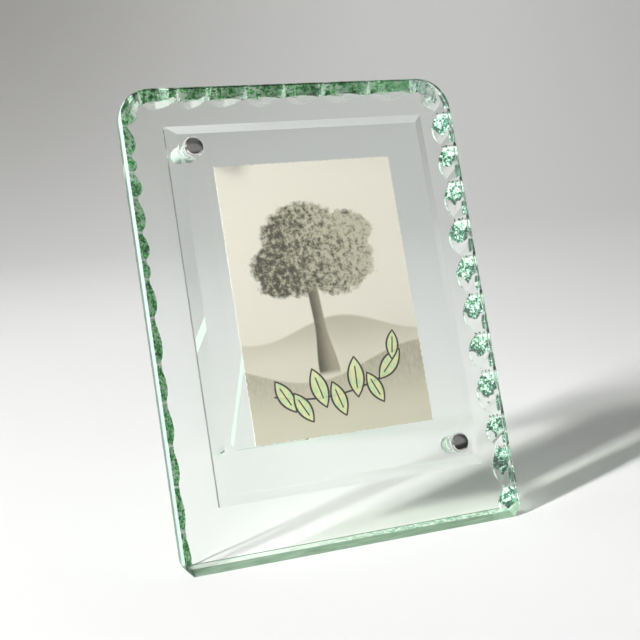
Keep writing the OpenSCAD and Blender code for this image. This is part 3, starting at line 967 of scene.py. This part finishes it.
for here, beyond in zip(strip, strip[1:]):
    for row, (a, b, c, d) in enumerate(zip(here, here[1:], beyond[1:], beyond)):
        face = shape.faces.new((a, b, c, d))
        finish_face(face, row, c.co.x < -PLATE_HALF_W + LEFT_SIDE_W)
print("faces of the strip:", len(shape.faces))

# %% [markdown]
# The front and the rear face are flat and are closed by triangles that leave the two bores open. The ends
# of the strip lie below the table, and one face between them closes the mesh.

# %% Bores, flat faces and the closed mesh
BORE_R = 3.88 * MM
BORE_SIDES = 64

bore_rings = []
for u, v in BORES:
    front_ring, rear_ring = [
        [
            corner(u + BORE_R * math.cos(turn), v + BORE_R * math.sin(turn), depth)
            for turn in (2 * math.pi * i / BORE_SIDES for i in range(BORE_SIDES))]
        for depth in (0, BACK_T)]
    bore_rings.append((front_ring, rear_ring))
    for i in range(BORE_SIDES):
        j = (i + 1) % BORE_SIDES
        shape.faces.new((front_ring[i], front_ring[j], rear_ring[j], rear_ring[i]))

for face_of_plate, row in ((0, 0), (1, -1)):
    outer = [rows[row] for rows in strip]
    loops = [outer] + [rings[face_of_plate] for rings in bore_rings]
    flat = [vert for loop in loops for vert in loop]
    for triangle in geometry.tessellate_polygon([[vert.co for vert in loop] for loop in loops]):
        shape.faces.new([flat[i] for i in triangle])
shape.faces.new(strip[0] + strip[-1][::-1])

bmesh.ops.triangulate(shape, faces=[face for face in shape.faces if len(face.verts) > 4])
bmesh.ops.recalc_face_normals(shape, faces=shape.faces)
print("closed mesh:", len(shape.faces), "faces")

# %% [markdown]
# Then the foot is ground level with the table and its corners are dubbed, as on the real plate. A maker
# grinds them on a flat wheel, and here the closed mesh is cut with planes in the same way and each cut is
# filled. The faces stay flat shaded, because smoothed normals would draw dark lines in the glass.


# %% Grind the foot
def grind(point, normal):
    """Cut away what lies on the normal's side of a plane, and close the mesh again."""
    cut = bmesh.ops.bisect_plane(
        shape, geom=shape.verts[:] + shape.edges[:] + shape.faces[:], dist=1e-7,
        plane_co=point, plane_no=normal, clear_outer=True)
    edges = [item for item in cut["geom_cut"] if isinstance(item, bmesh.types.BMEdge)]
    bmesh.ops.triangle_fill(shape, edges=edges, use_beauty=True, use_dissolve=False)


grind((0, 0, 0), (0, 0, -1))
for side in (-1, 1):
    grind((side * PLATE_HALF_W, 0, DUB), (side, 0, -1))
bmesh.ops.recalc_face_normals(shape, faces=shape.faces)

for face in shape.faces:
    face.smooth = False
    highest = max(vert.co.z for vert in face.verts)
    on_foot = highest < 0.01 * MM
    on_dub = abs(face.normal.z + math.sqrt(0.5)) < 0.002 and highest < DUB + 0.1 * MM
    if on_foot or on_dub:
        face[ground_and_painted_reflection_layer] = 0.9
        face[rim_layer] = 0
        face[dim_layer] = 1 if on_dub else 0
open_edges = sum(1 for edge in shape.edges if len(edge.link_faces) != 2)
print("ground plate:", len(shape.faces), "faces,", open_edges, "open edges, volume in ml:",
      round(shape.calc_volume() * 1e6, 1))

# %% [markdown]
# The finished mesh becomes an object. It moves with the frame's body, takes the place of the plain CAD plate
# and has the same glass as it.

# %% The finished plate
plate_mesh = bpy.data.meshes.new("chipped plate")
shape.to_mesh(plate_mesh)
shape.free()
plate_mesh.materials.append(thick_glass.material)
chipped_plate = bpy.data.objects.new("chipped_plate", plate_mesh)
bpy.context.scene.collection.objects.link(chipped_plate)
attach(chipped_plate, "frame")
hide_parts("back_plate")
print("chipped plate:", len(plate_mesh.vertices), "points")

# %% [markdown]
# ## Dressing the CAD nodes
#
# Every other piece keeps its CAD shape, because turned and flat parts are already true there. Each gets one
# of the finishes. The plain CAD plate gets the glass too, although the chipped one takes its place.

# %% Assign the finishes
FINISH_OF = {
    "back_plate": thick_glass, "glass_strut": strut_glass, "cover_plate": cover_glass,
    "photo_print": paper, "upper_screw": nickel, "lower_screw": nickel,
    "upper_washer": clear_plastic, "lower_washer": clear_plastic,
    "upper_spacer": clear_plastic, "lower_spacer": clear_plastic,
    "upper_bush": nylon, "lower_bush": nylon, "hinge_bond": bond,
    "hinge_base": satin, "strut_clamp": satin, "hinge_pin": steel,
    "pressure_plate": steel, "grub_screws": steel,
    "front_pad": clear_plastic, "rear_pad": clear_plastic,
}
for name, finish in FINISH_OF.items():
    mesh = nodes[name].data
    mesh.materials.clear()
    mesh.materials.append(finish.material)
print("dressed", len(FINISH_OF), "nodes")

# %% [markdown]
# ## The studio sheet
#
# The frame stands on a sheet that sweeps up into a wall behind it. The sheet lies a hair below the feet, so
# that a film of air stays under the glass: without it the ground foot couldn't mirror light from inside.

# %% The shape of the sheet
SHEET_HALF_W = 7.0
SHEET_FRONT = -6.0
SWEEP_FROM = 0.55
SWEEP_R = 0.5
SHEET_TOP = 3.0
FILM_OF_AIR = 0.08 * MM
SWEEP_STEPS = 32

profile = [(SHEET_FRONT, 0.0)]
for step in range(SWEEP_STEPS + 1):
    turn = math.pi / 2 * step / SWEEP_STEPS
    profile.append((SWEEP_FROM + SWEEP_R * math.sin(turn), SWEEP_R * (1 - math.cos(turn))))
profile.append((SWEEP_FROM + SWEEP_R, SHEET_TOP))

sheet_points = [(x, y, z - FILM_OF_AIR) for y, z in profile for x in (-SHEET_HALF_W, SHEET_HALF_W)]
sheet_faces = [(2 * i, 2 * i + 1, 2 * i + 3, 2 * i + 2) for i in range(len(profile) - 1)]
floor_mesh = bpy.data.meshes.new("floor")
floor_mesh.from_pydata(sheet_points, [], sheet_faces)
for face in floor_mesh.polygons:
    face.use_smooth = True
floor = bpy.data.objects.new("floor", floor_mesh)
bpy.context.scene.collection.objects.link(floor)
print("sheet:", len(sheet_faces), "faces")

# %% [markdown]
# The sheet is nearly white at the foot of the frame and fades to grey far behind it, paler on the right. In
# a studio, flags in front of the lamps do that. Here the colour does it, so the light on the glass stays
# plain. In front, behind the camera, the sheet pales into the distance for an eye that looks that way.

# %% The finish of the sheet
sheet = Finish("studio sheet")
floor_x, floor_y = sheet.place("X"), sheet.place("Y")
far = (floor_y * 0.93 - floor_x * 0.25).rise(0.25, 1.05)
near_tone = sheet.mix(floor_x.rise(-0.3, 0.25), rgb(0.635, 0.635, 0.63), rgb(0.86, 0.86, 0.855))
far_tone = sheet.mix(floor_x.rise(-0.05, 0.7), rgb(0.285, 0.28, 0.266), rgb(0.84, 0.835, 0.815))
haze = (-floor_y).rise(0.7, 3.0) * sheet.node("ShaderNodeLightPath", out="Is Camera Ray")
sheet.set(
    Base_Color=sheet.mix(far, near_tone, far_tone), Roughness=0.9, Specular_IOR_Level=0.1,
    Emission_Color=sheet.mix(haze, rgb(0, 0, 0), rgb(0.5, 0.5, 0.49)), Emission_Strength=1.0)
floor_mesh.materials.append(sheet.material)
print("sheet finish:", len(sheet.tree.nodes), "nodes")

# %% [markdown]
# ## The surroundings
#
# The room is mostly dark, so the polished heads and the steep facets of the glass have something dark to
# mirror. Soft light comes from overhead, from the back, from a panel on the left and from a panel in front.
# The world is a sphere round the scene, so each of them is a rise in one part of the direction. An eye that
# looks past the sheet sees a plain grey.

# %% Surroundings
ROOM_LEVEL = 0.06
SEEN_LEVEL = 0.55

world = bpy.data.worlds.new("studio")
world.use_nodes = True
room = Graph(world.node_tree)
direction = room.node("ShaderNodeTexCoord", out="Generated")
rightward, rearward, upward = [
    room.node("ShaderNodeSeparateXYZ", None, direction, out=axis) for axis in "XYZ"]

overhead = upward.rise(0.6, 0.9) * 0.14
behind = rearward.rise(-0.2, 0.6) * 0.16
left_panel = (-rightward).rise(0.45, 0.85) * 0.3
front_window = upward.rise(0.2, 0.4) - upward.rise(0.65, 0.85)
front_panel = (-rearward).rise(0.45, 0.7) * front_window * 0.28
level = overhead + behind + left_panel + front_panel + ROOM_LEVEL
level = level.math("MAXIMUM", room.node("ShaderNodeLightPath", out="Is Camera Ray") * SEEN_LEVEL)
background = world.node_tree.nodes["Background"]
room.feed(background.inputs["Strength"], level)
room.feed(background.inputs["Color"], rgb(0.98, 0.99, 1.0))
bpy.context.scene.world = world
print("surroundings:", len(room.tree.nodes), "nodes")

# %% [markdown]
# ## The key lamp
#
# The lamp is a strip that runs the same way as the sides of the plate, as seen from the frame. So the sides
# cast sharp shadows and the shadow of the top fades out, as in the photograph.

# %% Key lamp
LAMP_FROM_FOOT = Vector((-1.2, -0.095, 0.86))
LAMP_W = 0.07
LAMP_LEN = 0.3
LAMP_WATTS = 36

lamp = bpy.data.lights.new("key", "AREA")
lamp.shape = "RECTANGLE"
lamp.size = LAMP_W
lamp.size_y = LAMP_LEN
lamp.energy = LAMP_WATTS
key = bpy.data.objects.new("key", lamp)
bpy.context.scene.collection.objects.link(key)
back = LAMP_FROM_FOOT.normalized()
tall = (V_AXIS - back * V_AXIS.dot(back)).normalized()
key.rotation_euler = Matrix((tall.cross(back), tall, back)).transposed().to_euler()
key.location = PLATE_FOOT + LAMP_FROM_FOOT
print("the strip lamp leans", round(math.degrees(math.acos(tall.z))), "degrees")

# %% [markdown]
# ## The end
#
# The picture is shown with the plain Standard view, so a colour comes out about as it is written.

# %% The view
bpy.context.scene.view_settings.view_transform = "Standard"
